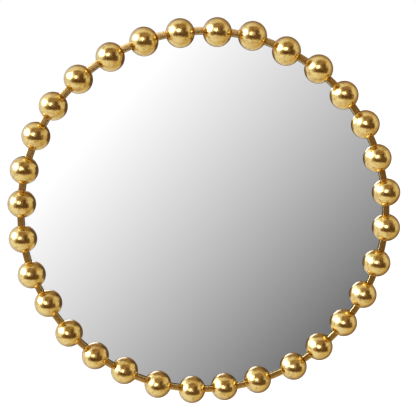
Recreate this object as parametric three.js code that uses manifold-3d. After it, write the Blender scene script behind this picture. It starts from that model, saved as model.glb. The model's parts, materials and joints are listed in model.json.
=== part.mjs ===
// Round wall mirror in a frame of gilt balls threaded side by side on a hoop.
// Millimetres, +Z up. The mirror faces -Y. The origin is the centre of the backboard's rear face.
import * as THREE from "three";
import { mergeVertices } from "three/addons/utils/BufferGeometryUtils.js";
import Module from "manifold-3d";

const wasm = await Module();
wasm.setup();

// ---------------------------------------------------------------- driving dimensions

const FIT_GAP = 0.3; // between pieces that touch

const BEAD_COUNT = 32;
const BEAD_DIAMETER = 50;
const BEAD_WALL = 2;
const BEAD_SPACE = 14; // bar that shows between two beads

const BAR_WIDTH = 12; // across, in the plane of the hoop
const BAR_DEPTH = 8; // front to back
const BAR_CORNER = 2;

// The beads are set by hand. Counted anticlockwise from the right, as seen from the front, some
// sit a little outside or inside the hoop's centre line, and some ahead of or behind their place.
const SETTING_ACROSS = 1.8;
const SETTING_ALONG = 3.4;
const SET_OUTSIDE = [1, 3, 5, 7, 13, 14, 15, 18, 20, 21, 23, 24, 27, 32];
const SET_INSIDE = [2, 6, 8, 9, 10, 11, 16, 19, 22, 25, 26, 28, 29, 30, 31];
const SET_AHEAD = [1, 2, 3, 4, 5, 6, 7, 12, 13, 27, 32];
const SET_BEHIND = [16, 17, 19, 22, 25, 26];

const BAND_THICKNESS = 1.5;
const BAND_INSET = 0.5; // how far the band stands inside the bar's outer edge

const LUG_COUNT = 6;
const LUG_REACH = 6; // inwards from the band
const LUG_WIDTH = 12;

const GLASS_THICKNESS = 4;
const GLASS_ARRIS = 0.5;
const GLASS_CLEARANCE = 0.5; // to the bar, which it lies inside

const SHEET_THICKNESS = 1;
const BOARD_THICKNESS = 6;
const BOARD_CLEARANCE = 1.5; // to the lugs, so that a turned button lets the board out

const BUTTON_THICKNESS = 1.5;
const BUTTON_WIDTH = 8;
const BUTTON_REACH = 20; // from its screw to its tip's centre

const BUTTON_SCREW = { shank: 3, head: 6, headHeight: 1.8, length: 8 };
const HANGER_SCREW = { shank: 3.5, head: 6.5, headHeight: 1.5, length: 6.5 };

const HANGER_SPACING = 360; // between the two hangers
const HANGER_HEIGHT = 150; // of the rings' axis above the centre
const STRAP_THICKNESS = 1.2;
const STRAP_WIDTH = 14;
const STRAP_LENGTH = 31; // from the rings' axis down
const STRAP_SCREW_EDGE = 6; // from the strap's lower end to its lower screw

const RING_WIRE = 3;
const RING_SIDE_PLAY = 2.5; // from the strap's side to the wire
const RING_LEG = 6;

const BUMPER_DIAMETER = 16;
const BUMPER_TAPER = 2;
const BUMPER_SPACING = 300;
const BUMPER_DROP = 200; // below the centre
const WALL_CLEARANCE = 1; // from the beads to the wall

const RING_FACETS = 2 * BEAD_COUNT;
const BEAD_FACETS = 14;
const BEAD_RINGS = 8;
const SMALL_FACETS = 12;
const RING_STEPS = 16;

// ---------------------------------------------------------------- derived places

const beadRadius = BEAD_DIAMETER / 2;
const hoopRadius = (BEAD_COUNT * (BEAD_DIAMETER + BEAD_SPACE)) / (2 * Math.PI);
const beadPitch = (2 * Math.PI) / BEAD_COUNT;

const bandOuter = hoopRadius + BAR_WIDTH / 2 - BAND_INSET;
const bandInner = bandOuter - BAND_THICKNESS;
const lugInner = bandInner - LUG_REACH;
const glassRadius = hoopRadius - BAR_WIDTH / 2 - GLASS_CLEARANCE;
const boardRadius = lugInner - BOARD_CLEARANCE;
const buttonRadius = lugInner + LUG_REACH / 2; // of the buttons' screws about the centre

const boardFront = -BOARD_THICKNESS;
const sheetBack = boardFront - FIT_GAP;
const sheetFront = sheetBack - SHEET_THICKNESS;
const glassBack = sheetFront - FIT_GAP;
const glassFront = glassBack - GLASS_THICKNESS;
const barBack = sheetFront - FIT_GAP;
const hoopPlane = barBack - BAR_DEPTH / 2;

const buttonFront = FIT_GAP;
const buttonHead = buttonFront + BUTTON_THICKNESS + FIT_GAP;
const strapFront = FIT_GAP;
const strapHead = strapFront + STRAP_THICKNESS + FIT_GAP;
const eyeBore = RING_WIRE / 2 + FIT_GAP;
const eyeRadius = eyeBore + STRAP_THICKNESS;
const eyeHeight = strapFront + eyeRadius; // of the rings' axis behind the board
const ringRadius = STRAP_WIDTH / 2 + RING_SIDE_PLAY + RING_WIRE / 2;
const loopBottom = RING_LEG + ringRadius - RING_WIRE / 2; // below the rings' axis
const strapScrews = [(eyeRadius + loopBottom) / 2, STRAP_LENGTH - STRAP_SCREW_EDGE];
const beadsBack = hoopPlane + beadRadius;
const bumperHeight = beadsBack + WALL_CLEARANCE - FIT_GAP;

// ---------------------------------------------------------------- materials

const finish = (color, roughness, metalness) =>
  new THREE.MeshStandardMaterial({ color, roughness, metalness });
const polishedGilt = () => finish(0xdcb65c, 0.16, 1);
const dullGilt = () => finish(0xa87c33, 0.42, 1);
const silvering = () => finish(0xf2f4f4, 0.02, 1);
const kraftPaper = () => finish(0xb89468, 0.9, 0);
const fibreboard = () => finish(0x8d6a44, 0.8, 0);
const zincPlate = () => finish(0xb9bcc0, 0.35, 1);
const blackPaint = () => finish(0x2b2723, 0.5, 0.6);
const blackRubber = () => finish(0x1d1d1e, 0.85, 0);

// ---------------------------------------------------------------- shapes

function solid(geometry) {
  const bare = geometry.clone();
  bare.deleteAttribute("normal");
  bare.deleteAttribute("uv");
  const merged = mergeVertices(bare, 1e-3);
  return new wasm.Manifold(
    new wasm.Mesh({
      numProp: 3,
      vertProperties: merged.attributes.position.array,
      triVerts: new Uint32Array(merged.index.array),
    }),
  );
}

function shaped(manifold) {
  const { vertProperties, triVerts } = manifold.getMesh();
  const geometry = new THREE.BufferGeometry();
  geometry.setAttribute("position", new THREE.BufferAttribute(vertProperties, 3));
  geometry.setIndex(new THREE.BufferAttribute(triVerts, 1));
  const faceted = geometry.toNonIndexed();
  faceted.computeVertexNormals();
  return faceted;
}

const joined = (first, ...others) =>
  shaped(others.reduce((whole, next) => whole.add(solid(next)), solid(first)));
const cut = (blank, ...cutters) =>
  shaped(cutters.reduce((whole, next) => whole.subtract(solid(next)), solid(blank)));

// Turned about the Y axis. The profile is a list of [radius, y], from the back round to the front.
const turned = (profile, facets) =>
  new THREE.LatheGeometry(
    profile.map(([radius, y]) => new THREE.Vector2(radius, y)).reverse(),
    facets,
  );

const disc = (radius, front, back, facets) =>
  turned([[0, back], [radius, back], [radius, front], [0, front]], facets);

const hollowRing = (inner, outer, front, back, facets) =>
  turned([[inner, back], [outer, back], [outer, front], [inner, front], [inner, back]], facets);

// A flat plate in the XZ plane, cut from an outline drawn in x and z, from front towards the back.
const plate = (outline, front, thickness) =>
  new THREE.ExtrudeGeometry(outline, {
    depth: thickness,
    bevelEnabled: false,
    curveSegments: SMALL_FACETS / 2,
  })
    .rotateX(Math.PI / 2)
    .translate(0, front + thickness, 0);

// A rod along X.
const rod = (radius, length, facets) =>
  new THREE.CylinderGeometry(radius, radius, length, facets).rotateZ(Math.PI / 2);

// A domed screw whose head rests at y = 0 and whose shank points forwards, to -Y.
function screw({ shank, head, headHeight, length }) {
  return turned(
    [
      [0, headHeight],
      [head * 0.3, headHeight],
      [head / 2, headHeight / 2],
      [head / 2, 0],
      [shank / 2, 0],
      [shank / 2, shank - length],
      [0, -length],
    ],
    SMALL_FACETS,
  );
}

// The clearance hole of a screw whose head rests at y = seat.
const screwHole = ({ shank, length }, seat, x, z) =>
  disc(shank / 2 + FIT_GAP, seat - FIT_GAP - length, seat - FIT_GAP / 2, SMALL_FACETS).translate(x, 0, z);

// ---------------------------------------------------------------- the scene graph

const mirror = new THREE.Group();

function piece(name, geometry, material, parent = mirror) {
  const mesh = new THREE.Mesh(geometry, material);
  mesh.name = name;
  parent.add(mesh);
  return mesh;
}

// A group whose +X points away from the centre, at an angle anticlockwise from the right.
function spoke(angle) {
  const group = new THREE.Group();
  group.rotation.y = -angle;
  mirror.add(group);
  return group;
}

const twoDigits = (number) => String(number).padStart(2, "0");

// ---------------------------------------------------------------- hoop, band and beads

function barSection() {
  const halfWidth = BAR_WIDTH / 2;
  const halfDepth = BAR_DEPTH / 2;
  const corner = Math.min(BAR_CORNER, halfWidth, halfDepth);
  const inner = hoopRadius - halfWidth;
  const outer = hoopRadius + halfWidth;
  const front = hoopPlane - halfDepth;
  const back = hoopPlane + halfDepth;
  return [
    [inner + corner, back],
    [outer - corner, back],
    [outer, back - corner],
    [outer, front + corner],
    [outer - corner, front],
    [inner + corner, front],
    [inner, front + corner],
    [inner, back - corner],
    [inner + corner, back],
  ];
}

piece("hoop_bar", turned(barSection(), RING_FACETS), dullGilt());

function trayBand() {
  const band = hollowRing(bandInner, bandOuter, barBack + FIT_GAP, 0, RING_FACETS);
  const depth = -(barBack + FIT_GAP);
  const length = LUG_REACH + BAND_THICKNESS / 2;
  const middle = lugInner + length / 2;
  const lugs = [];
  const holes = [];
  for (let i = 0; i < LUG_COUNT; i++) {
    const angle = (i * 2 * Math.PI) / LUG_COUNT;
    const lug = new THREE.BoxGeometry(length, depth, LUG_WIDTH);
    lugs.push(lug.translate(middle, -depth / 2, 0).rotateY(-angle));
    holes.push(screwHole(BUTTON_SCREW, buttonHead, buttonRadius, 0).rotateY(-angle));
  }
  return cut(joined(band, ...lugs), ...holes);
}

piece("tray_band", trayBand(), blackPaint());

// What a bead leaves free: the bar's slot, the glass inside the bar, and the band and board behind.
function beadSlot() {
  const outer = hoopRadius + BAR_WIDTH / 2 + FIT_GAP;
  const barInner = hoopRadius - BAR_WIDTH / 2 - FIT_GAP;
  const inner = hoopRadius - BEAD_DIAMETER;
  const front = hoopPlane - BAR_DEPTH / 2 - FIT_GAP;
  const overGlass = glassFront - FIT_GAP;
  const back = hoopPlane + BEAD_DIAMETER;
  return turned(
    [
      [inner, back],
      [outer, back],
      [outer, front],
      [barInner, front],
      [barInner, overGlass],
      [inner, overGlass],
      [inner, back],
    ],
    RING_FACETS,
  );
}

// A hollow ball about its own centre, with +X pointing away from the hoop's centre.
function bead(slot, angle, radius) {
  const ball = new THREE.SphereGeometry(beadRadius, BEAD_FACETS, BEAD_RINGS);
  const cavity = new THREE.SphereGeometry(beadRadius - BEAD_WALL, BEAD_FACETS, BEAD_RINGS);
  return cut(ball, cavity, slot.clone().rotateY(angle).translate(-radius, -hoopPlane, 0));
}

const setting = (number, plus, minus) => plus.includes(number) - minus.includes(number);

const slot = beadSlot();
for (let number = 1; number <= BEAD_COUNT; number++) {
  const shift = setting(number, SET_AHEAD, SET_BEHIND) * (SETTING_ALONG / hoopRadius);
  const angle = (number - 0.5) * beadPitch + shift;
  const radius = hoopRadius + setting(number, SET_OUTSIDE, SET_INSIDE) * SETTING_ACROSS;
  const mesh = piece(`bead_${twoDigits(number)}`, bead(slot, angle, radius), polishedGilt(), spoke(angle));
  mesh.position.set(radius, hoopPlane, 0);
}

// ---------------------------------------------------------------- glass and backing

function mirrorGlass() {
  return turned(
    [
      [0, glassBack],
      [glassRadius - GLASS_ARRIS, glassBack],
      [glassRadius, glassBack - GLASS_ARRIS],
      [glassRadius, glassFront + GLASS_ARRIS],
      [glassRadius - GLASS_ARRIS, glassFront],
      [0, glassFront],
    ],
    RING_FACETS,
  );
}

piece("mirror_glass", mirrorGlass(), silvering());
piece("backing_sheet", disc(boardRadius, sheetFront, sheetBack, RING_FACETS), kraftPaper());

const hangerSides = [["left", -HANGER_SPACING / 2], ["right", HANGER_SPACING / 2]];

function backboard() {
  const holes = hangerSides.flatMap(([, x]) =>
    strapScrews.map((drop) => screwHole(HANGER_SCREW, strapHead, x, HANGER_HEIGHT - drop)),
  );
  return cut(disc(boardRadius, boardFront, 0, RING_FACETS), ...holes);
}

piece("backboard", backboard(), fibreboard());

// ---------------------------------------------------------------- turn buttons

function turnButton() {
  const outline = new THREE.Shape();
  outline.absarc(0, 0, BUTTON_WIDTH / 2, -Math.PI / 2, Math.PI / 2, false);
  outline.absarc(-BUTTON_REACH, 0, BUTTON_WIDTH / 2, Math.PI / 2, (3 * Math.PI) / 2, false);
  const pivot = new THREE.Path();
  pivot.absarc(0, 0, BUTTON_SCREW.shank / 2 + FIT_GAP, 0, 2 * Math.PI, true);
  outline.holes.push(pivot);
  return plate(outline, buttonFront, BUTTON_THICKNESS);
}

for (let i = 0; i < LUG_COUNT; i++) {
  const group = spoke((i * 2 * Math.PI) / LUG_COUNT);
  const button = piece(`turn_button_${i + 1}`, turnButton(), zincPlate(), group);
  button.position.x = buttonRadius;
  const fastener = piece(`turn_button_screw_${i + 1}`, screw(BUTTON_SCREW), zincPlate(), group);
  fastener.position.set(buttonRadius, buttonHead, 0);
}

// ---------------------------------------------------------------- hangers and bumpers

function hangerStrap() {
  const outline = new THREE.Shape();
  const half = STRAP_WIDTH / 2;
  outline.moveTo(half, 0);
  outline.absarc(0, half - STRAP_LENGTH, half, 0, -Math.PI, true);
  outline.lineTo(-half, 0);
  const flat = plate(outline, strapFront, STRAP_THICKNESS);
  const eye = rod(eyeRadius, STRAP_WIDTH, SMALL_FACETS).translate(0, eyeHeight, 0);
  const bore = rod(eyeBore, STRAP_WIDTH * 2, SMALL_FACETS).translate(0, eyeHeight, 0);
  const holes = strapScrews.map((drop) => screwHole(HANGER_SCREW, strapHead, 0, -drop));
  return cut(joined(flat, eye), bore, ...holes);
}

// Down one leg of the ring, round its bow and up the other leg.
class BowPath extends THREE.Curve {
  getPoint(t, target = new THREE.Vector3()) {
    const bow = Math.PI * ringRadius;
    const way = t * (2 * RING_LEG + bow);
    if (way < RING_LEG) return target.set(-ringRadius, 0, -way);
    if (way > RING_LEG + bow) return target.set(ringRadius, 0, way - 2 * RING_LEG - bow);
    const turn = (way - RING_LEG) / ringRadius;
    return target.set(-ringRadius * Math.cos(turn), 0, -RING_LEG - ringRadius * Math.sin(turn));
  }
}

// A ring of round wire, straight where it turns in the strap's eye and bowed below it.
function dRing() {
  const wire = RING_WIRE / 2;
  const section = new THREE.Shape();
  section.absarc(0, 0, wire, 0, 2 * Math.PI, false);
  const bow = new THREE.ExtrudeGeometry(section, {
    extrudePath: new BowPath(),
    steps: RING_STEPS,
    curveSegments: SMALL_FACETS / 2,
  });
  return joined(bow, rod(wire, 2 * (ringRadius + wire), SMALL_FACETS));
}

for (const [side, x] of hangerSides) {
  const strap = piece(`hanger_strap_${side}`, hangerStrap(), zincPlate());
  strap.position.set(x, 0, HANGER_HEIGHT);
  const ring = piece(`d_ring_${side}`, dRing(), zincPlate());
  ring.position.set(x, eyeHeight, HANGER_HEIGHT);
  strapScrews.forEach((drop, i) => {
    const row = i === 0 ? "upper" : "lower";
    const fastener = piece(`hanger_screw_${side}_${row}`, screw(HANGER_SCREW), zincPlate());
    fastener.position.set(x, strapHead, HANGER_HEIGHT - drop);
  });
}

function bumper() {
  const radius = BUMPER_DIAMETER / 2;
  return turned(
    [[0, bumperHeight], [radius - BUMPER_TAPER, bumperHeight], [radius, 0], [0, 0]],
    SMALL_FACETS,
  );
}

for (const [side, x] of [["left", -BUMPER_SPACING / 2], ["right", BUMPER_SPACING / 2]]) {
  piece(`bumper_${side}`, bumper(), blackRubber()).position.set(x, FIT_GAP, -BUMPER_DROP);
}

export default mirror;
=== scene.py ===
"""Dresses the round wall mirror in its frame of gilt balls, and sets up the studio that it hangs in.

Metres, +Z up. The mirror faces -Y, and the origin is the centre of the backboard's rear face.
"""
import json
import math

import bmesh
import bpy
from mathutils import Matrix, Vector

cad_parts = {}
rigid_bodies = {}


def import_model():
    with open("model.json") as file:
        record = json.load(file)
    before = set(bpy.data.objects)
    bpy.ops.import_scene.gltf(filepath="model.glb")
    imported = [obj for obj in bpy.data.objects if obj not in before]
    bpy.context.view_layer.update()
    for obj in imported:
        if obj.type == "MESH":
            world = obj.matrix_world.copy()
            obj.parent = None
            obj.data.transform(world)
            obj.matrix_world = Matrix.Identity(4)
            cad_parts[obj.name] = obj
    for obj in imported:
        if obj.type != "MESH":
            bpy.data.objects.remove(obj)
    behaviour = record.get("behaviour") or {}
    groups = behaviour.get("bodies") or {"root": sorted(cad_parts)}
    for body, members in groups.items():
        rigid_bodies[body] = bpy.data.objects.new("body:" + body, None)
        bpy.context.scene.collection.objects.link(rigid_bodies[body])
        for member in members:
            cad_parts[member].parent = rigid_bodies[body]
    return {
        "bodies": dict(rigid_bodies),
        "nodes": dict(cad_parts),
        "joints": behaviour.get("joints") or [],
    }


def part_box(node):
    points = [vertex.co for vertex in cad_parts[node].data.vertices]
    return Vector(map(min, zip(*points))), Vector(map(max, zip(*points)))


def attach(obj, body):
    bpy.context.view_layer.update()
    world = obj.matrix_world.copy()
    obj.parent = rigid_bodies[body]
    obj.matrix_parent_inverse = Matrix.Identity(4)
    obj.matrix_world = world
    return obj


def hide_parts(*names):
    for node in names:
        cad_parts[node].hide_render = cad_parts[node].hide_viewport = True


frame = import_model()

bl_info = {
    "name": "Ball-framed round mirror",
    "version": (1, 0, 0),
    "blender": (4, 5, 0),
    "location": "View3D > Sidebar > Mirror",
    "description": "Round wall mirror in a hoop of gilt balls, with its backing and hangers",
    "category": "Object",
}

MM = 0.001
DEPTH_AXIS = Vector((0, 1, 0))
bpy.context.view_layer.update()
BALL_COUNT = sum(name.startswith("bead_") for name in frame["nodes"])
BUTTON_COUNT = sum(name.startswith("turn_button_") for name in frame["bodies"])
SIDES = ("left", "right")
FULL_TURN = 2 * math.pi
QUARTER_TURN = math.pi / 2
WELD = 1e-6  # Corners as near as this are one.
HAIR = 1e-7
CROWN_STEPS = 8
FINE_EDGE = 0.3 * MM
SHEET_EDGE = 0.2 * MM
LUG_CORNER = 1.5 * MM
ROUND_END = 0.499  # Over the width of a bar. It is a little under half, so that the two bends don't meet.
BUTTON_SCREW = {"shank_share": 0.50, "height_share": 0.60}
HANGER_SCREW = {"shank_share": 0.54, "height_share": 0.46}

WHITE = (1, 1, 1)
SENSOR_WIDTH = 36
FLOOR_REACH = 60
FLOOR_TONES = ((0.80, 0.80, 0.80), (0.84, 0.84, 0.84))
NEVER_ZERO = 0.0004  # Keeps a division from failing straight behind the camera.

# The wall that the glass sends back: which way it gets paler, anticlockwise from the right, and how far
# from its middle its tones run. Its level is dark at the low end, rises by so much per reach, and is never
# under the floor. The curve turns a level into light, no brighter than white.
WALL_SLOPE = math.radians(135.4)
WALL_REACH = 0.32
WALL_DARK, WALL_RISE, WALL_FLOOR = 0.20, 0.42, 0.16
WALL_CURVE = (0.010, 0.786, 0.364)
WALL_WHITE = 1.12

# The even grey beside the wall: where it starts and is full, its tone, and how much paler it is overhead
# and on the left.
GREY_START, GREY_FULL = 0.36, 0.62
GREY, GREY_OVERHEAD, GREY_LEFT = 0.58, 0.18, 0.12

# What metal reflects, in linear light. The names are the places where each shows on a ball.
ROOM = {
    "left_wall": (1.00, 1.09, 1.40),
    "right_wall": (0.68, 0.60, 0.41),
    "pale_corner": (0.82, 0.81, 0.78),
    "rim": (0.24, 0.13, 0.05),
    "doorway": (0.37, 0.27, 0.18),
    "hollow": (0.14, 0.09, 0.06),
    "lamp": (2.5, 2.9, 4.6),
    "window_glow": (1.15, 1.35, 2.2),
    "window": (8.0, 9.0, 12.0),
    "window_seen_twice": (4.0, 4.5, 6.0),
    "behind": (0.18, 0.10, 0.04),
}


# ---------------------------------------------------------------- properties


def length(name, description, default):
    """A size that is given in millimetres."""
    return bpy.props.FloatProperty(
        name=name,
        description=description,
        default=default * MM,
        precision=4,
        subtype="DISTANCE",
        unit="LENGTH",
    )


def shade(name, description, default):
    """A colour in linear light."""
    return bpy.props.FloatVectorProperty(
        name=name, description=description, default=default, size=3, min=0, max=1, subtype="COLOR"
    )


class MirrorSizes(bpy.types.PropertyGroup):
    """Sizes that the frame's boxes don't give."""

    ball_wall: length("Ball wall", "Thickness of the pressed metal of a ball", 2)
    ball_facets: bpy.props.IntProperty(
        name="Ball facets", description="Faces round a ball's widest ring", default=64, min=16, max=128
    )
    bar_width: length("Bar width", "Width of the hoop bar, in the plane of the hoop", 12)
    bar_corner: length("Bar corner", "Rounding of the hoop bar's four edges", 0.8)
    bar_crown: length("Bar crown", "How far the bar's front falls away from its middle to its edges", 0.4)
    slot_gap: length("Slot gap", "Space between the bar and the slot that it leaves in a ball", 0.25)
    hoop_steps: bpy.props.IntProperty(
        name="Hoop steps", description="Faces round the hoop and the plates", default=256, min=64, max=512
    )
    band_thickness: length("Band thickness", "Thickness of the tray band behind the bar", 1.5)
    lug_reach: length("Lug reach", "How far a lug stands in from the band", 6)
    lug_width: length("Lug width", "Width of a lug along the band", 12)
    arris: length("Arris", "Ground-off edge of the glass", 0.5)
    board_edge: length("Board edge", "Rounding of the backboard's edges", 0.8)
    button_width: length("Button width", "Width of a turn button", 8)
    strap_width: length("Strap width", "Width of a hanger strap", 14)
    strap_thickness: length("Strap thickness", "Thickness of a hanger strap", 1.2)
    ring_wire: length("Ring wire", "Diameter of a D-ring's wire", 3)
    ring_corner: length("Ring corner", "Bend where a D-ring's leg meets its straight side", 3)
    ring_leg: length("Ring leg", "Straight part of a D-ring's sides", 6)


class MirrorFinishes(bpy.types.PropertyGroup):
    """Colours of the finishes."""

    leaf: shade("Gold leaf", "Polished leaf on the balls", (0.85, 0.60, 0.175))
    leaf_worn: shade("Worn leaf", "Leaf that shows the red ground under it", (0.62, 0.37, 0.08))
    ground: shade("Ground", "Red-brown ground, bare in the leaf's pinholes", (0.30, 0.14, 0.04))
    bar_leaf: shade("Bar leaf", "Dull leaf on the bar, where it is rubbed", (0.93, 0.66, 0.23))
    bar_patina: shade("Bar patina", "Brown toning on the bar", (0.66, 0.38, 0.09))
    bar_pits: shade("Bar pits", "Dark between the bar's stipples", (0.14, 0.08, 0.03))
    silver: shade("Silvering", "What the glass and its silver send back", (0.94, 0.94, 0.94))
    silver_bloom: shade("Silver bloom", "Tarnish near the rim of the silvering", (0.70, 0.66, 0.58))
    glass_dust: shade("Dust on the glass", "Specks on the face of the glass", (0.72, 0.70, 0.66))
    glass_edge: shade("Glass edge", "Green of the glass seen edge on", (0.10, 0.24, 0.19))
    back_paint: shade("Back paint", "Paint over the silver, on the back of the glass", (0.16, 0.13, 0.11))
    band_paint: shade("Band paint", "Satin brown-black paint on the tray band", (0.022, 0.018, 0.014))
    band_dust: shade("Dust on the band", "Dust that lies on the paint", (0.12, 0.10, 0.08))
    band_rubbed: shade("Rubbed band", "Steel that shows through the paint", (0.20, 0.18, 0.16))
    board: shade("Fibreboard", "Face of the backboard", (0.29, 0.18, 0.095))
    board_edge: shade("Board edge", "Sawn edge of the backboard", (0.19, 0.11, 0.055))
    board_chips: shade("Board chips", "Dark chips in the fibreboard", (0.11, 0.06, 0.03))
    paper: shade("Backing sheet", "Brown sheet between the glass and the board", (0.36, 0.22, 0.11))
    zinc: shade("Zinc", "Zinc plating on the fittings", (0.62, 0.63, 0.64))
    zinc_dull: shade("Dull zinc", "Zinc that has gone yellow and dull", (0.50, 0.46, 0.36))
    rubber: shade("Rubber", "Black rubber of the feet", (0.022, 0.022, 0.023))
    rubber_bloom: shade("Rubber bloom", "Grey bloom on the rubber", (0.07, 0.068, 0.065))


class MirrorStudio(bpy.types.PropertyGroup):
    """The camera, the floor and the light."""

    camera_place: bpy.props.FloatVectorProperty(
        name="Camera place",
        description="Where the camera stands",
        default=(-0.0160, -1.3907, 0.2843),
        size=3,
        subtype="TRANSLATION",
        unit="LENGTH",
    )
    camera_turn: bpy.props.FloatProperty(
        name="Camera turn", description="Turn to the right", default=math.radians(1.277), subtype="ANGLE"
    )
    camera_pitch: bpy.props.FloatProperty(
        name="Camera pitch", description="Tilt upwards", default=math.radians(-10.936), subtype="ANGLE"
    )
    camera_lean: bpy.props.FloatProperty(
        name="Camera lean", description="Lean to the right", default=math.radians(1.590), subtype="ANGLE"
    )
    lens: bpy.props.FloatProperty(
        name="Lens", description="Focal length in millimetres", default=68.21, subtype="DISTANCE_CAMERA"
    )
    floor_drop: length("Floor drop", "How far the floor lies below the mirror's centre", 1500)
    floor_glow: bpy.props.FloatProperty(
        name="Floor glow", description="Light added to what the camera sees of it", default=0.50, min=0
    )
    fill: bpy.props.FloatProperty(
        name="Fill", description="Strength of the even light from all round", default=0.85, min=0
    )
    lamp_power: bpy.props.FloatProperty(
        name="Lamp power", description="Power of the overhead lamp", default=28, min=0, subtype="POWER"
    )


def settings(group):
    """The property group of the scene by that name."""
    return getattr(bpy.context.scene, group)


# ---------------------------------------------------------------- shader maths


class Term:
    """One number in a node tree. Python's operators on it add the Math nodes that work it out."""

    def __init__(self, sheet, socket):
        self.sheet = sheet
        self.socket = socket

    def math(self, operation, *values):
        return self.sheet.term("Math", 0, {"operation": operation}, dict(enumerate(values)))

    def __add__(self, other):
        return self.math("ADD", self, other)

    def __sub__(self, other):
        return self.math("SUBTRACT", self, other)

    def __rsub__(self, other):
        return self.math("SUBTRACT", other, self)

    def __mul__(self, other):
        return self.math("MULTIPLY", self, other)

    def __truediv__(self, other):
        return self.math("DIVIDE", self, other)

    def __pow__(self, other):
        return self.math("POWER", self, other)

    def __abs__(self):
        return self.math("ABSOLUTE", self)

    __radd__ = __add__

    def root(self):
        return self.math("SQRT", self)

    def at_least(self, other):
        return self.math("MAXIMUM", self, other)

    def at_most(self, other):
        return self.math("MINIMUM", self, other)

    def rise(self, start, end, low=0.0, high=1.0):
        """A smooth step from low at start to high at end."""
        return self.sheet.term(
            "MapRange",
            "Result",
            {"interpolation_type": "SMOOTHSTEP"},
            {"Value": self, "From Min": start, "From Max": end, "To Min": low, "To Max": high},
        )

    def between(self, low, high, soft):
        """1 between low and high, with edges as wide as soft."""
        return self.rise(low - soft / 2, low + soft / 2) * self.rise(high + soft / 2, high - soft / 2)


class Sheet:
    """A node tree that is being drawn."""

    def __init__(self, tree):
        self.tree = tree
        tree.nodes.clear()

    def node(self, kind, options=None, inputs=None):
        """Adds a node, gives it its settings, and then its sockets their values or links."""
        made = self.tree.nodes.new("ShaderNode" + kind)
        for key, value in (options or {}).items():
            setattr(made, key, value)
        for key, value in (inputs or {}).items():
            socket = made.inputs[key]
            if isinstance(value, Term):
                self.tree.links.new(value.socket, socket)
            elif socket.type == "RGBA" and len(value) == 3:
                socket.default_value = (*value, 1)
            else:
                socket.default_value = value
        return made

    def term(self, kind, output, options=None, inputs=None):
        """One output of a new node."""
        return Term(self, self.node(kind, options, inputs).outputs[output])

    def place(self):
        """Where on the object a point is, in metres."""
        return self.term("TexCoord", "Object")

    def dot(self, vector, direction):
        return self.term("VectorMath", "Value", {"operation": "DOT_PRODUCT"}, {0: vector, 1: direction})

    def axes(self, vector):
        parts = self.node("SeparateXYZ", inputs={0: vector})
        return [Term(self, parts.outputs[axis]) for axis in "XYZ"]

    def joined_axes(self, x, y, z):
        return self.term("CombineXYZ", "Vector", inputs={0: x, 1: y, 2: z})

    def stretched(self, vector, scale):
        return self.term("Mapping", "Vector", inputs={"Vector": vector, "Scale": scale})

    def noise(self, place, size, detail=2.0, roughness=0.5, distortion=0.0):
        """Soft noise whose blotches are about size metres across."""
        return self.term(
            "TexNoise",
            "Fac",
            inputs={
                "Vector": place,
                "Scale": 1 / size,
                "Detail": detail,
                "Roughness": roughness,
                "Distortion": distortion,
            },
        )

    def cells(self, place, size, output="Distance"):
        """Cells about size metres across."""
        return self.term("TexVoronoi", output, inputs={"Vector": place, "Scale": 1 / size})

    def mix(self, factor, first, second):
        """A colour between two colours."""
        return self.term("Mix", 2, {"data_type": "RGBA"}, {0: factor, 6: first, 7: second})

    def bump(self, height, distance, under=None):
        """A normal pushed about by a height of 0 to 1, which stands for that distance in metres."""
        inputs = {"Height": height, "Distance": distance}
        if under is not None:
            inputs["Normal"] = under
        return self.term("Bump", "Normal", inputs=inputs)

    def principled(self, **sockets):
        """A Principled shader. A socket's name is written with _ for a space."""
        inputs = {key.replace("_", " "): value for key, value in sockets.items()}
        return self.term("BsdfPrincipled", "BSDF", inputs=inputs)

    def mixed_shader(self, factor, first, second):
        """A shader between two shaders."""
        return self.term("MixShader", 0, inputs={0: factor, 1: first, 2: second})

    def output(self, shader):
        self.node("OutputMaterial", inputs={"Surface": shader})

    def surface(self, **sockets):
        """Ends a material that is one Principled shader."""
        self.output(self.principled(**sockets))


# ---------------------------------------------------------------- finishes


def tinted(colour, factor):
    """A colour made lighter or darker."""
    return tuple(min(1, factor * part) for part in colour)


def ball_leaf(sheet, colours):
    """Polished gold leaf over pressed metal: mottled, thin in places, with fine laid wrinkles."""
    place = sheet.place()
    cloud = sheet.noise(place, 10 * MM, detail=6, roughness=0.66, distortion=0.6)
    grain = sheet.noise(place, 1.6 * MM, detail=3, roughness=0.6)
    laid = sheet.stretched(place, (1, 1, 0.5))
    wrinkle = sheet.noise(laid, 5.5 * MM, detail=4, roughness=0.6, distortion=1.2)
    thin = (cloud * 0.75 + grain * 0.25).rise(0.49, 0.60)
    pinholes = sheet.cells(place, 4 * MM).rise(0.30, 0.14) * sheet.noise(place, 9 * MM).rise(0.50, 0.60)
    colour = sheet.mix(thin, colours.leaf, colours.leaf_worn)
    colour = sheet.mix(pinholes * 0.55, colour, colours.ground)
    roughness = 0.05 + thin * 0.08 + grain.rise(0.45, 0.75) * 0.05 + pinholes * 0.2
    dents = sheet.bump(sheet.noise(place, 12 * MM, detail=1), 0.22 * MM)
    sheet.surface(
        Base_Color=colour,
        Metallic=1.0,
        Roughness=roughness,
        Normal=sheet.bump(wrinkle * 0.84 + grain * 0.16, 0.42 * MM, under=dents),
        Coat_Weight=0.5,
        Coat_Roughness=0.15,
    )


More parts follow.
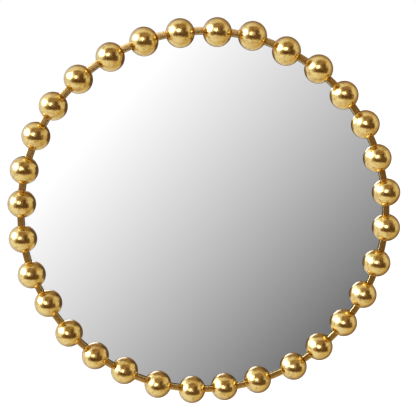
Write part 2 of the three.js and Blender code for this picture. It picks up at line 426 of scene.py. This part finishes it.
def bar_leaf(sheet, colours):
    """Dull leaf toned brown and rubbed along its length, brighter at the bar's edges."""
    place = sheet.place()
    x, depth, z = sheet.axes(place)
    hoop = hoop_facts()
    out = (x * x + z * z).root()
    across = abs((out - hoop["radius"]) / hoop["half_width"])
    along_the_bar = sheet.joined_axes(out, depth, (x + z) * 0.03)
    draw = sheet.noise(along_the_bar, 0.5 * MM, detail=3, roughness=0.65)
    stipple = sheet.cells(place, 1 * MM).rise(0.1, 0.55)
    blotch = sheet.noise(place, 7 * MM, detail=5, roughness=0.62)
    rubbed = (across.rise(0.60, 0.95) * 0.5 + blotch * 0.8 + draw * 0.4 - 0.35).rise(0.10, 0.75)
    pits = 1 - stipple
    colour = sheet.mix(rubbed, colours.bar_patina, colours.bar_leaf)
    sheet.surface(
        Base_Color=sheet.mix(pits * 0.28, colour, colours.bar_pits),
        Metallic=1.0,
        Roughness=0.30 - rubbed * 0.06 + pits * 0.06,
        Normal=sheet.bump(draw * 0.8 + stipple * 0.12 + blotch * 0.08, 0.16 * MM),
    )


def silvered_glass(sheet, colours):
    """Silvered float glass: clean silver in front, a green ground edge, and painted behind."""
    place = sheet.place()
    x, depth, z = sheet.axes(place)
    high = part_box("mirror_glass")[1]
    out = (x * x + z * z).root()
    edge = out.rise(high.x - 0.6 * MM, high.x - 0.4 * MM)
    behind = depth.rise(high.y - 0.4 * MM, high.y - 0.2 * MM)
    tarnish = sheet.noise(place, 18 * MM, detail=5, roughness=0.65).rise(0.5, 0.75)
    bloom = out.rise(high.x - 9 * MM, high.x) * tarnish
    silver = sheet.mix(bloom * 0.35, colours.silver, colours.silver_bloom)
    colour = sheet.mix(edge, silver, colours.glass_edge)
    colour = sheet.mix(behind, colour, colours.back_paint)
    mirror = sheet.principled(Base_Color=colour, Metallic=1.0, Roughness=0.0)
    glaze = sheet.principled(Base_Color=colour, Roughness=edge.rise(0, 1, 0.55, 0.12))
    dust = sheet.principled(Base_Color=colours.glass_dust, Roughness=0.9)
    specks = sheet.noise(place, 2.2 * MM, detail=6, roughness=0.7).rise(0.56, 0.80)
    face = sheet.mixed_shader(specks * out.rise(150 * MM, high.x) * 0.02, mirror, dust)
    sheet.output(sheet.mixed_shader(edge.at_least(behind), face, glaze))


def satin_paint(sheet, colours):
    """Brown-black paint on steel: a faint orange-peel skin, dusty and rubbed here and there."""
    place = sheet.place()
    peel = sheet.noise(place, 1.6 * MM)
    dust = sheet.noise(place, 20 * MM, detail=6, roughness=0.65).rise(0.48, 0.78)
    rubbed = sheet.noise(place, 5 * MM, detail=5, roughness=0.7).rise(0.66, 0.74)
    colour = sheet.mix(dust * 0.35, colours.band_paint, colours.band_dust)
    sheet.surface(
        Base_Color=sheet.mix(rubbed * 0.6, colour, colours.band_rubbed),
        Metallic=rubbed * 0.7,
        Roughness=0.38 + dust * 0.3,
        Normal=sheet.bump(peel, 0.05 * MM),
    )


def kraft_sheet(sheet, colours):
    """Brown sheet with its fibres lying every way."""
    place = sheet.place()
    fibres = sheet.noise(sheet.stretched(place, (1, 1, 0.12)), 1.2 * MM, detail=4, roughness=0.7)
    crossed = sheet.noise(sheet.stretched(place, (0.12, 1, 1)), 1.2 * MM, detail=4, roughness=0.7)
    weave = fibres * 0.5 + crossed * 0.5
    sheet.surface(
        Base_Color=sheet.mix(weave.rise(0.35, 0.65), tinted(colours.paper, 0.7), colours.paper),
        Roughness=0.85 + weave * 0.1,
        Normal=sheet.bump(weave, 0.06 * MM),
    )


def fibreboard(sheet, colours):
    """Pressed fibreboard: felted fibres, darker and open along the sawn edge."""
    place = sheet.place()
    x, _, z = sheet.axes(place)
    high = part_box("backboard")[1]
    lengthwise = sheet.stretched(place, (1, 1, 0.6))
    fibres = sheet.noise(lengthwise, 2.2 * MM, detail=6, roughness=0.7, distortion=2.2)
    crosswise = sheet.stretched(place, (0.6, 1, 1))
    crossed = sheet.noise(crosswise, 1.6 * MM, detail=6, roughness=0.7, distortion=1.6)
    felt = fibres * 0.5 + crossed * 0.5
    cloud = sheet.noise(place, 90 * MM, detail=4, roughness=0.55)
    chips = sheet.cells(place, 3.2 * MM).rise(0.18, 0.08) * sheet.noise(place, 8 * MM).rise(0.5, 0.6)
    edge = (x * x + z * z).root().rise(high.x - 1 * MM, high.x - 0.6 * MM)
    colour = sheet.mix(felt.rise(0.36, 0.64), tinted(colours.board, 0.72), colours.board)
    colour = sheet.mix(cloud.rise(0.42, 0.66) * 0.5, colour, tinted(colours.board, 1.22))
    colour = sheet.mix(chips * 0.5, colour, colours.board_chips)
    sheet.surface(
        Base_Color=sheet.mix(edge, colour, colours.board_edge),
        Roughness=0.62 + felt * 0.2 + edge * 0.1,
        Normal=sheet.bump(felt * (1 + edge) + chips * 0.3, 0.08 * MM),
    )


def zinc_plate(sheet, colours):
    """Zinc plating: dull spangle, fine draw lines and a faint yellow cast."""
    place = sheet.place()
    spangle = sheet.axes(sheet.cells(place, 2.4 * MM, "Color"))[0]
    draw = sheet.noise(sheet.stretched(place, (1, 1, 0.06)), 0.4 * MM, detail=3, roughness=0.6)
    dull = sheet.noise(place, 6 * MM, detail=5, roughness=0.65).rise(0.42, 0.72)
    colour = sheet.mix(spangle * 0.4, colours.zinc, tinted(colours.zinc, 0.66))
    sheet.surface(
        Base_Color=sheet.mix(dull * 0.45, colour, colours.zinc_dull),
        Metallic=1.0,
        Roughness=0.26 + spangle * 0.12 + dull * 0.22,
        Normal=sheet.bump(draw * 0.6 + spangle * 0.4, 0.02 * MM),
    )


def black_rubber(sheet, colours):
    """Moulded rubber with a fine bloom and dust in its pores."""
    place = sheet.place()
    pores = sheet.noise(place, 0.6 * MM, detail=3, roughness=0.6)
    bloom = sheet.noise(place, 5 * MM, detail=4).rise(0.4, 0.75)
    sheet.surface(
        Base_Color=sheet.mix(bloom * 0.35, colours.rubber, colours.rubber_bloom),
        Roughness=0.6 + bloom * 0.25,
        Normal=sheet.bump(pores, 0.05 * MM),
    )


FINISHES = {
    "bead_gilt": ball_leaf,
    "bar_gilt": bar_leaf,
    "silvered_glass": silvered_glass,
    "band_paint": satin_paint,
    "kraft_sheet": kraft_sheet,
    "fibreboard": fibreboard,
    "zinc_plate": zinc_plate,
    "bumper_rubber": black_rubber,
}


def finish(slot):
    """The material of a slot, made the first time that it is asked for.

    The frame may bring a plain material of the same name, so a finished one is marked.
    """
    material = bpy.data.materials.get(slot)
    if material is None or not material.get("mirror_finish"):
        material = bpy.data.materials.new(slot)
        material.use_nodes = True
        FINISHES[slot](Sheet(material.node_tree), settings("mirror_finishes"))
        material["mirror_finish"] = True
    return material


# ---------------------------------------------------------------- shapes


def hoop_facts():
    """The hoop's centre line, from the bar's box."""
    low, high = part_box("hoop_bar")
    half_width = settings("mirror_sizes").bar_width / 2
    return {
        "radius": high.x - half_width,
        "half_width": half_width,
        "front": low.y,
        "back": high.y,
        "plane": (low.y + high.y) / 2,
    }


def edges_of(geometry):
    return [part for part in geometry if isinstance(part, bmesh.types.BMEdge)]


def verts_of(geometry):
    return [part for part in geometry if isinstance(part, bmesh.types.BMVert)]


def piece(bm, name, body, slot, *nodes, crease=25):
    """Makes a piece of a bmesh: it rides on a body, takes a slot's finish and stands for CAD nodes."""
    bmesh.ops.remove_doubles(bm, verts=bm.verts[:], dist=WELD)
    bmesh.ops.recalc_face_normals(bm, faces=bm.faces[:])
    for face in bm.faces:
        face.smooth = True
    for edge in bm.edges:
        edge.smooth = edge.calc_face_angle(0) < math.radians(crease)
    mesh = bpy.data.meshes.new(name)
    bm.to_mesh(mesh)
    bm.free()
    made = bpy.data.objects.new(name, mesh)
    bpy.context.scene.collection.objects.link(made)
    mesh.materials.append(finish(slot))
    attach(made, body)
    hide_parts(*nodes)


def bevel(bm, chosen, rounding, segments, affect="EDGES"):
    """Rounds the chosen edges or corners."""
    bmesh.ops.bevel(
        bm,
        geom=chosen,
        offset=rounding,
        offset_type="OFFSET",
        segments=segments,
        profile=0.5,
        affect=affect,
        material=-1,
    )


def rotate(bm, angle, axis):
    """Turns a shape about an axis through the origin."""
    bmesh.ops.rotate(bm, cent=(0, 0, 0), matrix=Matrix.Rotation(angle, 3, axis), verts=bm.verts[:])


def move(bm, way):
    bmesh.ops.translate(bm, vec=way, verts=bm.verts[:])


def turned(corners, steps, segments):
    """A closed shape turned about the depth axis.

    A corner is (radius, depth), or (radius, depth, rounding). The corners run round the outline.
    """
    bm = bmesh.new()
    verts = [bm.verts.new((radius, depth, 0)) for radius, depth, *_ in corners]
    bm.faces.new(verts)
    for vert, (_, _, *rounding) in zip(verts, corners):
        if rounding:
            bevel(bm, [vert], rounding[0], segments, "VERTICES")
    bmesh.ops.delete(bm, geom=bm.faces[:], context="FACES_ONLY")
    on_axis = [edge for edge in bm.edges if all(abs(vert.co.x) < HAIR for vert in edge.verts)]
    bmesh.ops.delete(bm, geom=on_axis, context="EDGES")
    bmesh.ops.spin(
        bm,
        geom=bm.verts[:] + bm.edges[:],
        cent=(0, 0, 0),
        axis=DEPTH_AXIS,
        dvec=(0, 0, 0),
        angle=FULL_TURN,
        steps=steps,
        use_merge=True,
        use_duplicate=False,
    )
    bmesh.ops.remove_doubles(bm, verts=bm.verts[:], dist=HAIR)
    return bm


def block(size, centre, side, corner, rim, segments):
    """A box. Its edges along the depth axis on one side are rounded by corner, then all its rims by rim.

    The side is the sign of x and of z of those edges, such as (0, -1) for both lower ones.
    """
    bm = bmesh.new()
    bmesh.ops.create_cube(bm, size=1)
    bmesh.ops.scale(bm, vec=size, verts=bm.verts[:])
    chosen = [
        edge
        for edge in bm.edges
        if abs(edge.verts[0].co.y - edge.verts[1].co.y) > size[1] / 2
        and edge.verts[0].co.x * side[0] >= 0
        and edge.verts[0].co.z * side[1] >= 0
    ]
    bevel(bm, chosen, corner, segments)
    bmesh.ops.remove_doubles(bm, verts=bm.verts[:], dist=WELD)
    rims = [edge for edge in bm.edges if edge.calc_face_angle(0) > math.radians(40)]
    bevel(bm, rims, rim, 2)
    move(bm, centre)
    return bm


def swing(bm, angle):
    """Turns a shape about the mirror's middle, anticlockwise as seen from the front."""
    rotate(bm, -angle, "Y")


def footing(low, high):
    """The middle of a box's front face."""
    return (low.x + high.x) / 2, low.y, (low.z + high.z) / 2


def added(bm, other):
    """Adds one bmesh to another."""
    mesh = bpy.data.meshes.new("part")
    other.to_mesh(mesh)
    other.free()
    bm.from_mesh(mesh)
    bpy.data.meshes.remove(mesh)


# ---------------------------------------------------------------- balls


def ball_centre(node):
    """A ball's centre, from the foremost point of its CAD node."""
    foremost = min(frame["nodes"][node].data.vertices, key=lambda vertex: vertex.co.y).co
    return Vector((foremost.x, hoop_facts()["plane"], foremost.z))


def open_ball(centre, radius, sizes, hoop):
    """A ball about its own centre, +X away from the hoop's, slotted for the bar and open over the glass.

    The hoop is straightened while the slot is cut, and bent again afterwards.
    """
    reach = math.hypot(centre.x, centre.z)
    bm = bmesh.new()
    around = sizes.ball_facets
    bmesh.ops.create_uvsphere(bm, u_segments=around, v_segments=around // 2, radius=radius)
    rotate(bm, QUARTER_TURN, "X")
    for vert in bm.verts:
        vert.co.x = math.hypot(reach + vert.co.x, vert.co.z) - hoop["radius"]
    side = hoop["half_width"] + sizes.slot_gap
    front = hoop["front"] - hoop["plane"] - sizes.slot_gap
    over_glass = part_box("mirror_glass")[0].y - hoop["plane"] - sizes.slot_gap
    for place, normal in (
        ((side, 0, 0), (1, 0, 0)),
        ((-side, 0, 0), (1, 0, 0)),
        ((0, front, 0), (0, 1, 0)),
        ((0, over_glass, 0), (0, 1, 0)),
    ):
        geometry = bm.verts[:] + bm.edges[:] + bm.faces[:]
        bmesh.ops.bisect_plane(bm, geom=geometry, dist=WELD, plane_co=place, plane_no=normal)
    cut_away = []
    for face in bm.faces:
        middle = face.calc_center_median()
        in_slot = abs(middle.x) < side and middle.y > front
        over_the_glass = middle.x < side and middle.y > over_glass
        if in_slot or over_the_glass:
            cut_away.append(face)
    bmesh.ops.delete(bm, geom=cut_away, context="FACES")
    for vert in bm.verts:
        vert.co.x = math.sqrt((hoop["radius"] + vert.co.x) ** 2 - vert.co.z**2) - reach
    return bm


class MirrorBalls(bpy.types.Operator):
    """Makes the gilt balls, each a thin shell slotted over the hoop bar"""

    bl_idname = "ball_mirror.balls"
    bl_label = "Balls"

    def execute(self, context):
        sizes = settings("mirror_sizes")
        hoop = hoop_facts()
        for number in range(1, BALL_COUNT + 1):
            node = f"bead_{number:02d}"
            centre = ball_centre(node)
            radius = hoop["plane"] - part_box(node)[0].y
            bm = open_ball(centre, radius, sizes, hoop)
            bmesh.ops.solidify(bm, geom=bm.faces[:], thickness=sizes.ball_wall)
            swing(bm, math.atan2(centre.z, centre.x))
            move(bm, centre)
            piece(bm, f"ball_{number:02d}", "frame", "bead_gilt", node, crease=40)
        return {"FINISHED"}


# ---------------------------------------------------------------- hoop, band, glass and backing


class MirrorHoop(bpy.types.Operator):
    """Makes the hoop bar that the balls are threaded on"""

    bl_idname = "ball_mirror.hoop"
    bl_label = "Hoop bar"

    def execute(self, context):
        sizes = settings("mirror_sizes")
        hoop = hoop_facts()
        inner, outer = hoop["radius"] - hoop["half_width"], hoop["radius"] + hoop["half_width"]
        corners = [(inner, hoop["back"], sizes.bar_corner), (outer, hoop["back"], sizes.bar_corner)]
        for step in range(CROWN_STEPS + 1):
            aside = 1 - 2 * step / CROWN_STEPS
            rounding = (sizes.bar_corner,) if abs(aside) == 1 else ()
            radius = hoop["radius"] + aside * hoop["half_width"]
            corners.append((radius, hoop["front"] + aside * aside * sizes.bar_crown, *rounding))
        piece(turned(corners, sizes.hoop_steps, 4), "bar", "frame", "bar_gilt", "hoop_bar")
        return {"FINISHED"}


class MirrorTray(bpy.types.Operator):
    """Makes the tray band behind the bar, with its lugs"""

    bl_idname = "ball_mirror.tray"
    bl_label = "Tray band"

    def execute(self, context):
        sizes = settings("mirror_sizes")
        low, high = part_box("tray_band")
        outer = high.x
        inner = outer - sizes.band_thickness
        outline = ((inner, high.y), (outer, high.y), (outer, low.y), (inner, low.y))
        corners = [(*place, FINE_EDGE) for place in outline]
        bm = turned(corners, sizes.hoop_steps, 2)
        lug_length = sizes.lug_reach + sizes.band_thickness / 2
        middle = inner - sizes.lug_reach + lug_length / 2
        for number in range(BUTTON_COUNT):
            lug = block(
                (lug_length, high.y - low.y, sizes.lug_width),
                (middle, (low.y + high.y) / 2, 0),
                side=(-1, 0),
                corner=LUG_CORNER,
                rim=FINE_EDGE,
                segments=4,
            )
            swing(lug, number * FULL_TURN / BUTTON_COUNT)
            added(bm, lug)
        piece(bm, "band", "frame", "band_paint", "tray_band")
        return {"FINISHED"}


class MirrorGlass(bpy.types.Operator):
    """Makes the glass, with its edges ground"""

    bl_idname = "ball_mirror.glass"
    bl_label = "Glass"

    def execute(self, context):
        sizes = settings("mirror_sizes")
        low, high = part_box("mirror_glass")
        corners = [
            (0, high.y),
            (high.x, high.y, sizes.arris),
            (high.x, low.y, sizes.arris),
            (0, low.y),
        ]
        piece(turned(corners, sizes.hoop_steps, 1), "glass", "frame", "silvered_glass", "mirror_glass")
        return {"FINISHED"}


class MirrorBacking(bpy.types.Operator):
    """Makes the brown sheet and the board behind the glass"""

    bl_idname = "ball_mirror.backing"
    bl_label = "Sheet and board"

    def execute(self, context):
        sizes = settings("mirror_sizes")
        for name, slot, node, edge in (
            ("sheet", "kraft_sheet", "backing_sheet", SHEET_EDGE),
            ("board", "fibreboard", "backboard", sizes.board_edge),
        ):
            low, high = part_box(node)
            corners = [(0, high.y), (high.x, high.y, edge), (high.x, low.y, edge), (0, low.y)]
            piece(turned(corners, sizes.hoop_steps, 2), name, "frame", slot, node, crease=20)
        return {"FINISHED"}


# ---------------------------------------------------------------- fittings


def cross_head_screw(node, turn, shank_share, height_share):
    """A pan-head screw with a cross recess, its shank forwards, standing where its CAD node does.

    The turn is where its recess stops. The shares are the shank's radius and the head's height, over the
    head's radius.
    """
    low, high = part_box(node)
    head = (high.x - low.x) / 2
    shank, head_height = head * shank_share, head * height_share
    top = high.y - low.y
    seat = top - head_height
    arm, half_slot = head * 0.42, head * 0.11
    corners = [
        (0, 0),
        (shank, shank * 1.6),
        (shank, seat),
        (head, seat),
        (head, top, head_height * 0.72),
        (0, top),
    ]
    bm = turned(corners, 32, 5)

    def crown():
        return [face for face in bm.faces if face.calc_center_median().y > top - WELD]

    def in_recess(face):
        middle = face.calc_center_median()
        short, long = sorted((abs(middle.x), abs(middle.z)))
        return short < half_slot and long < arm

    bmesh.ops.dissolve_faces(bm, faces=crown())
    for axis in ((1, 0, 0), (0, 0, 1)):
        for offset in (-arm, -half_slot, half_slot, arm):
            faces = crown()
            rim = {part for face in faces for part in (*face.verts, *face.edges)}
            bmesh.ops.bisect_plane(
                bm, geom=faces + list(rim), dist=HAIR, plane_co=Vector(axis) * offset, plane_no=axis
            )
    recess = [face for face in crown() if in_recess(face)]
    sunk = verts_of(bmesh.ops.extrude_face_region(bm, geom=recess)["geom"])
    bmesh.ops.scale(bm, vec=(0.7, 1, 0.7), verts=sunk)
    bmesh.ops.translate(bm, vec=(0, -0.6 * head_height, 0), verts=sunk)
    rotate(bm, turn, "Y")
    move(bm, footing(low, high))
    return bm


class MirrorButtons(bpy.types.Operator):
    """Makes the turn buttons that hold the board in, and their screws"""

    bl_idname = "ball_mirror.buttons"
    bl_label = "Turn buttons"

    def execute(self, context):
        sizes = settings("mirror_sizes")
        low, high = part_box("turn_button_1")
        long = high.x - low.x
        thick = high.y - low.y
        for number in range(1, BUTTON_COUNT + 1):
            bm = block(
                (long, thick, sizes.button_width),
                ((low.x + high.x) / 2, (low.y + high.y) / 2, 0),
                side=(0, 0),
                corner=sizes.button_width * ROUND_END,
                rim=thick * 0.25,
                segments=8,
            )
            swing(bm, (number - 1) * FULL_TURN / BUTTON_COUNT)
            node = f"turn_button_{number}"
            piece(bm, f"button_{number}", node, "zinc_plate", node)
            node = f"turn_button_screw_{number}"
            screw = cross_head_screw(node, number * 0.9, **BUTTON_SCREW)
            piece(screw, f"button_screw_{number}", "frame", "zinc_plate", node)
        return {"FINISHED"}


def ring_wire(sizes, half_width):
    """A D-ring about its hinge axis: straight through the eye, down its legs and round the bow."""
    bm = bmesh.new()
    bmesh.ops.create_circle(bm, segments=16, radius=sizes.ring_wire / 2, cap_ends=False)
    rotate(bm, QUARTER_TURN, "Y")
    tip = bm.edges[:]
    corner = sizes.ring_corner
    straight = half_width - corner
    leg = sizes.ring_leg - corner

    def go(tip, way):
        grown = bmesh.ops.extrude_edge_only(bm, edges=tip)["geom"]
        bmesh.ops.translate(bm, vec=way, verts=verts_of(grown))
        return edges_of(grown)

    def bend(tip, centre, angle, steps):
        around = {vert for edge in tip for vert in edge.verts}
        grown = bmesh.ops.spin(
            bm,
            geom=list(around) + tip,
            cent=centre,
            axis=DEPTH_AXIS,
            dvec=(0, 0, 0),
            angle=angle,
            steps=steps,
            use_merge=False,
            use_duplicate=False,
        )
        return edges_of(grown["geom_last"])

    tip = go(tip, (straight, 0, 0))
    tip = bend(tip, (straight, 0, -corner), QUARTER_TURN, 6)
    tip = go(tip, (0, 0, -leg))
    tip = bend(tip, (0, 0, -sizes.ring_leg), FULL_TURN / 2, 24)
    tip = go(tip, (0, 0, leg))
    tip = bend(tip, (-straight, 0, -corner), QUARTER_TURN, 6)
    go(tip, (straight, 0, 0))
    return bm


class MirrorHangers(bpy.types.Operator):
    """Makes the hanger straps, their D-rings and their screws"""

    bl_idname = "ball_mirror.hangers"
    bl_label = "Hangers"

    def execute(self, context):
        sizes = settings("mirror_sizes")
        hinges = {joint["child"]: Vector(joint["pos_m"]) for joint in frame["joints"]}
        for turn, side in enumerate(SIDES):
            strap, ring = f"hanger_strap_{side}", f"d_ring_{side}"
            hinge = hinges[ring]
            low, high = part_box(strap)
            thick = sizes.strap_thickness
            foot = sizes.strap_width
            drop = hinge.z - low.z
            bm = block(
                (foot, thick, drop),
                (hinge.x, low.y + thick / 2, hinge.z - drop / 2),
                side=(0, -1),
                corner=foot * ROUND_END,
                rim=thick * 0.25,
                segments=10,
            )
            outer = high.y - hinge.y
            inner = outer - thick
            half = foot / 2
            outline = ((inner, half), (outer, half), (outer, -half), (inner, -half))
            eye = turned([(*place, thick * 0.2) for place in outline], 40, 2)
            rotate(eye, QUARTER_TURN, "Z")
            move(eye, hinge)
            added(bm, eye)
            piece(bm, f"strap_{side}", "frame", "zinc_plate", strap)
            low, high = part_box(ring)
            half_width = (high.x - low.x - sizes.ring_wire) / 2
            wire = ring_wire(sizes, half_width)
            move(wire, hinge)
            piece(wire, f"ring_{side}", ring, "zinc_plate", ring, crease=60)
            for row_turn, row in enumerate(("upper", "lower")):
                node = f"hanger_screw_{side}_{row}"
                screw = cross_head_screw(node, 0.4 + turn + 0.7 * row_turn, **HANGER_SCREW)
                piece(screw, f"strap_screw_{side}_{row}", "frame", "zinc_plate", node)
        return {"FINISHED"}


class MirrorFeet(bpy.types.Operator):
    """Makes the rubber feet that hold the balls off the wall"""

    bl_idname = "ball_mirror.feet"
    bl_label = "Rubber feet"

    def execute(self, context):
        for side in SIDES:
            node = f"bumper_{side}"
            low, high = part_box(node)
            base = (high.x - low.x) / 2
            height = high.y - low.y
            corners = [
                (0, height),
                (base * 0.75, height, 1 * MM),
                (base, 1.2 * MM, FINE_EDGE),
                (base, 0, FINE_EDGE),
                (0, 0),
            ]
            bm = turned(corners, 48, 4)
            move(bm, footing(low, high))
            piece(bm, f"foot_{side}", "frame", "bumper_rubber", node)
        return {"FINISHED"}


# ---------------------------------------------------------------- studio


def camera_pose(studio):
    """The camera's matrix, at the angle that the mirror is seen from."""
    lean = Matrix.Rotation(studio.camera_lean, 4, "Y")
    turn = Matrix.Rotation(-studio.camera_turn, 4, "Z")
    pitch = Matrix.Rotation(QUARTER_TURN + studio.camera_pitch, 4, "X")
    return Matrix.Translation(studio.camera_place) @ lean @ turn @ pitch


def oval(across, up, middle, reach):
    """How far a point is from the middle of an oval, squared. It is 1 on the oval's edge."""
    return ((across - middle[0]) / reach[0]) ** 2 + ((up - middle[1]) / reach[1]) ** 2


def room_on_a_ball(sheet, way, pose, first):
    """The room that metal reflects, drawn as it shows on a polished ball in front of the camera.

    across and up run from -1 to 1 over such a ball. The window is dimmer in what is reflected twice.
    """
    right, above, towards = (pose.col[i].to_3d() for i in range(3))
    facing = sheet.dot(way, towards)
    spread = (facing * 2 + 2 + NEVER_ZERO).root()
    across = sheet.dot(way, right) / spread
    up = sheet.dot(way, above) / spread
    limb = (across * across + up * up).root()
    arched = up + (across - 0.08) ** 2 * 0.7
    sagging = up - (across - 0.18) ** 2 * 0.25

    pale_corner = across.rise(0.40, 0.55) * up.between(-0.15, 0.55, 0.3)
    side_on = across.rise(-1.1, 0.5, 0.30, 1.0) + up.rise(0.6, 0.95) * 0.3
    rim = limb.rise(0.66, 0.96) * side_on.at_most(1)
    doorway = across.between(-0.24, 0.42, 0.05) * arched.between(-0.20, 0.55, 0.04)
    skirting = across.between(-0.47, 0.59, 0.05) * sagging.between(-0.36, -0.02, 0.05)
    hollow = across.between(0.17, 0.43, 0.10) * up.between(-0.30, 0.30, 0.14)
    pit = across.between(0.30, 0.56, 0.08) * sagging.between(-0.32, 0.02, 0.08)
    under = across.between(-0.30, 0.54, 0.20) * sagging.between(-0.31, -0.10, 0.07)
    lamp = oval(across, up, (-0.10, 0.07), (0.13, 0.11)).rise(1.5, 0.5)
    window = oval(across, up, (-0.52, 0.21), (0.18, 0.22)).root()

    colour = sheet.mix(across.rise(-0.6, 0.6), ROOM["left_wall"], ROOM["right_wall"])
    for mask, over in (
        (pale_corner, ROOM["pale_corner"]),
        (rim, ROOM["rim"]),
        (doorway.at_least(skirting), ROOM["doorway"]),
        (hollow.at_least(pit).at_least(under), ROOM["hollow"]),
        (lamp, ROOM["lamp"]),
        (window.rise(1.8, 0.9) * 0.5, ROOM["window_glow"]),
        (window.rise(1.05, 0.80), sheet.mix(first, ROOM["window_seen_twice"], ROOM["window"])),
        (facing.rise(-0.78, -0.92), ROOM["behind"]),
    ):
        colour = sheet.mix(mask, colour, over)
    return colour


def wall_in_the_glass(sheet, way, pose):
    """The grey of the room that flat glass sends back.

    Straight ahead is a plain wall, dark low on the right and white high on the left. To the sides, above
    and below, the room is an even grey, paler on the left and overhead.
    """
    eye = pose.translation
    x, depth, z = sheet.axes(way)
    stand_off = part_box("mirror_glass")[0].y - eye.y
    ahead = (0 - depth).at_least(0.05)
    seen_x = x / ahead * stand_off + eye.x
    seen_z = z / ahead * stand_off + eye.z
    paler = seen_x * math.cos(WALL_SLOPE) + seen_z * math.sin(WALL_SLOPE)
    level = (WALL_DARK + (paler / WALL_REACH + 1) * WALL_RISE).at_least(WALL_FLOOR)
    base, slope, bend = WALL_CURVE
    wall = (level * (slope + level * bend) + base).at_most(WALL_WHITE)
    aside = (seen_x * seen_x + seen_z * seen_z).root().rise(GREY_START, GREY_FULL)
    grey = GREY + z * GREY_OVERHEAD - x * GREY_LEFT
    return wall + (grey - wall) * aside


def studio_world(studio, pose):
    """White to the camera, an even light on dull things, and a room for metal and glass to reflect."""
    world = bpy.data.worlds.new("studio")
    bpy.context.scene.world = world
    world.use_nodes = True
    sheet = Sheet(world.node_tree)
    way = sheet.term("TexCoord", "Generated")
    rays = sheet.node("LightPath").outputs
    glossy, sharp, camera, depth = (
        Term(sheet, rays[name])
        for name in ("Is Glossy Ray", "Is Singular Ray", "Is Camera Ray", "Glossy Depth")
    )
    first = depth.rise(1.6, 1.4)
    tone = wall_in_the_glass(sheet, way, pose)
    grey = sheet.term("CombineColor", 0, inputs={0: tone, 1: tone, 2: tone})
    colour = sheet.mix(glossy, (studio.fill,) * 3, room_on_a_ball(sheet, way, pose, first))
    colour = sheet.mix(glossy * sharp * first, colour, grey)
    colour = sheet.mix(camera, colour, WHITE)
    background = sheet.term("Background", 0, inputs={"Color": colour})
    sheet.node("OutputWorld", inputs={"Surface": background})


def pale_floor(studio):
    """A pale floor that stays white to the camera but for the shadow that falls on it."""
    bm = bmesh.new()
    bmesh.ops.create_grid(bm, x_segments=1, y_segments=1, size=FLOOR_REACH)
    move(bm, (0, 0, -studio.floor_drop))
    mesh = bpy.data.meshes.new("floor")
    bm.to_mesh(mesh)
    bm.free()
    floor = bpy.data.objects.new("floor", mesh)
    bpy.context.scene.collection.objects.link(floor)
    material = bpy.data.materials.new("floor")
    material.use_nodes = True
    sheet = Sheet(material.node_tree)
    grain = sheet.noise(sheet.place(), 0.4, detail=3)
    tone = sheet.mix(grain, *FLOOR_TONES)
    paint = sheet.principled(Base_Color=tone, Roughness=0.9, Specular_IOR_Level=0.0)
    glow = sheet.term("Emission", 0, inputs={"Color": WHITE, "Strength": studio.floor_glow})
    lifted = sheet.term("AddShader", 0, inputs={0: paint, 1: glow})
    sheet.output(sheet.mixed_shader(sheet.term("LightPath", "Is Camera Ray"), paint, lifted))
    mesh.materials.append(material)
    floor.visible_glossy = False


def soft_lamp(name, place, size, power):
    """A square lamp turned to the mirror's middle. Metal doesn't reflect it."""
    light = bpy.data.lights.new(name, "AREA")
    light.size = size
    light.energy = power
    lamp = bpy.data.objects.new(name, light)
    bpy.context.scene.collection.objects.link(lamp)
    aim = (-Vector(place)).to_track_quat("-Z", "Y").to_matrix().to_4x4()
    lamp.matrix_world = Matrix.Translation(place) @ aim
    lamp.visible_glossy = False


class MirrorStage(bpy.types.Operator):
    """Sets up the camera, the floor and the light"""

    bl_idname = "ball_mirror.stage"
    bl_label = "Studio"

    def execute(self, context):
        studio = settings("mirror_studio")
        pose = camera_pose(studio)
        data = bpy.data.cameras.new("camera")
        data.sensor_width = SENSOR_WIDTH
        data.lens = studio.lens
        data.clip_start = 0.05
        camera = bpy.data.objects.new("camera", data)
        context.scene.collection.objects.link(camera)
        camera.matrix_world = pose
        context.scene.camera = camera
        context.scene.view_settings.view_transform = "Standard"
        studio_world(studio, pose)
        pale_floor(studio)
        soft_lamp("overhead", place=(-0.8, -1.6, 2.6), size=2.4, power=studio.lamp_power)
        return {"FINISHED"}


# ---------------------------------------------------------------- add-on


GROUPS = {"mirror_sizes": MirrorSizes, "mirror_finishes": MirrorFinishes, "mirror_studio": MirrorStudio}
STEPS = (
    MirrorStage,
    MirrorHoop,
    MirrorBalls,
    MirrorTray,
    MirrorGlass,
    MirrorBacking,
    MirrorButtons,
    MirrorHangers,
    MirrorFeet,
)


class MirrorPanel(bpy.types.Panel):
    """Lists the mirror's sizes, finishes and pieces"""

    bl_idname = "VIEW3D_PT_ball_mirror"
    bl_label = "Ball-framed mirror"
    bl_space_type = "VIEW_3D"
    bl_region_type = "UI"
    bl_category = "Mirror"

    def draw(self, context):
        for name, group in GROUPS.items():
            box = self.layout.box()
            for field in group.__annotations__:
                box.prop(getattr(context.scene, name), field)
        for step in STEPS:
            self.layout.operator(step.bl_idname)


def register():
    for made in (*GROUPS.values(), *STEPS, MirrorPanel):
        bpy.utils.register_class(made)
    for name, group in GROUPS.items():
        setattr(bpy.types.Scene, name, bpy.props.PointerProperty(type=group))


def unregister():
    for name in GROUPS:
        delattr(bpy.types.Scene, name)
    for made in (MirrorPanel, *reversed(STEPS), *reversed(list(GROUPS.values()))):
        bpy.utils.unregister_class(made)


def main():
    """Makes every piece in order."""
    register()
    for step in STEPS:
        area, name = step.bl_idname.split(".")
        getattr(getattr(bpy.ops, area), name)()


if __name__ == "__main__":
    main()
